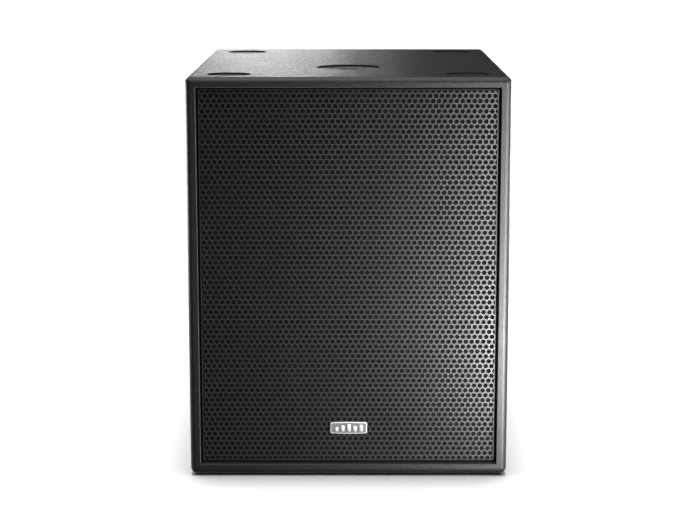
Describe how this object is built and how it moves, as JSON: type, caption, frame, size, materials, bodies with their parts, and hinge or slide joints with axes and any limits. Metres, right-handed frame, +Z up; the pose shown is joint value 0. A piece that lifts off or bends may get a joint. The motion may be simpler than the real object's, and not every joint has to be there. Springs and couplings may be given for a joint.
{
  "type": "subwoofer cabinet",
  "caption": "Portrait powered subwoofer cabinet: perforated front grille, pole socket and stacking recesses in the top, side handles, rear amplifier panel.",
  "frame": {"origin": "centre of the footprint, on the floor under the feet", "axes": "+X width, to the right as seen from the front; +Y depth, from the grille to the amplifier side; +Z up"},
  "size_m": [0.55, 0.7, 0.694],
  "materials": {
    "painted_plywood": "satin",
    "bare_plywood": "matte",
    "black_steel": "satin",
    "grille_foam": "matte",
    "badge_metal": "satin",
    "cast_basket": "matte",
    "plated_steel": "satin",
    "ferrite": "matte",
    "cone_paper": "matte",
    "treated_cloth": "matte",
    "coil_wire": "satin",
    "rubber": "matte",
    "black_plastic": "satin",
    "gloss_black_plastic": "gloss",
    "amp_plate": "satin",
    "circuit_board": "satin",
    "lamp_lens": "gloss",
    "wadding": "matte"
  },
  "bodies": {
    "cabinet": {"top_panel": "painted_plywood", "bottom_panel": "painted_plywood", "left_side_panel": "painted_plywood", "right_side_panel": "painted_plywood", "rear_panel": "painted_plywood", "front_baffle": "painted_plywood", "port_shelf": "painted_plywood", "port_divider": "painted_plywood", "grille_cleat_left": "painted_plywood", "grille_cleat_right": "painted_plywood", "window_brace": "bare_plywood", "amp_mounting_frame": "bare_plywood", "grille": "black_steel", "pole_plate": "black_steel", "grille_foam": "grille_foam", "badge": "badge_metal", "woofer_basket": "cast_basket", "woofer_top_plate": "plated_steel", "woofer_back_plate": "plated_steel", "woofer_bolt_1": "plated_steel", "woofer_bolt_2": "plated_steel", "woofer_bolt_3": "plated_steel", "woofer_bolt_4": "plated_steel", "woofer_bolt_5": "plated_steel", "woofer_bolt_6": "plated_steel", "woofer_bolt_7": "plated_steel", "woofer_bolt_8": "plated_steel", "amp_chassis": "plated_steel", "input_socket_1": "plated_steel", "input_socket_2": "plated_steel", "link_socket_1": "plated_steel", "link_socket_2": "plated_steel", "woofer_magnet": "ferrite", "woofer_surround": "treated_cloth", "woofer_spider": "treated_cloth", "woofer_gasket": "rubber", "speaker_cable": "rubber", "foot_1": "rubber", "foot_2": "rubber", "foot_3": "rubber", "foot_4": "rubber", "woofer_terminals": "black_plastic", "handle_left": "black_plastic", "handle_right": "black_plastic", "mains_inlet": "black_plastic", "power_switch_frame": "black_plastic", "amp_panel": "amp_plate", "heat_sink": "amp_plate", "amp_board": "circuit_board", "lamp_window": "lamp_lens", "damping_mat": "wadding"},
    "cone_assembly": {"woofer_cone": "cone_paper", "woofer_dust_cap": "cone_paper", "woofer_voice_coil": "coil_wire"},
    "level_knob": {"level_knob": "black_plastic"},
    "crossover_knob": {"crossover_knob": "black_plastic"},
    "power_rocker": {"power_rocker": "gloss_black_plastic"},
    "polarity_button": {"polarity_button": "black_plastic"},
    "input_latch_1": {"input_latch_1": "plated_steel"},
    "input_latch_2": {"input_latch_2": "plated_steel"}
  },
  "joints": [
    {"name": "cone_travel", "type": "slide", "parent": "cabinet", "child": "cone_assembly", "axis": [0, -1, 0], "range_m": [-0.012, 0.012], "stiffness_N_per_m": 8000, "deforming": ["woofer_surround", "woofer_spider"]},
    {"name": "level_turn", "type": "hinge", "parent": "cabinet", "child": "level_knob", "pos_m": [0.088, 0.335, 0.31], "axis": [0, -1, 0], "range_deg": [-145, 145]},
    {"name": "crossover_turn", "type": "hinge", "parent": "cabinet", "child": "crossover_knob", "pos_m": [0.036, 0.335, 0.31], "axis": [0, -1, 0], "range_deg": [-145, 145]},
    {"name": "power_rock", "type": "hinge", "parent": "cabinet", "child": "power_rocker", "pos_m": [0.066, 0.3345, 0.18], "axis": [1, 0, 0], "range_deg": [-9, 9]},
    {"name": "polarity_press", "type": "slide", "parent": "cabinet", "child": "polarity_button", "axis": [0, -1, 0], "range_m": [0, 0.0015]},
    {"name": "latch_1_press", "type": "slide", "parent": "cabinet", "child": "input_latch_1", "axis": [0, -1, 0], "range_m": [0, 0.0013], "stiffness_N_per_m": 400},
    {"name": "latch_2_press", "type": "slide", "parent": "cabinet", "child": "input_latch_2", "axis": [0, -1, 0], "range_m": [0, 0.0013], "stiffness_N_per_m": 400}
  ]
}
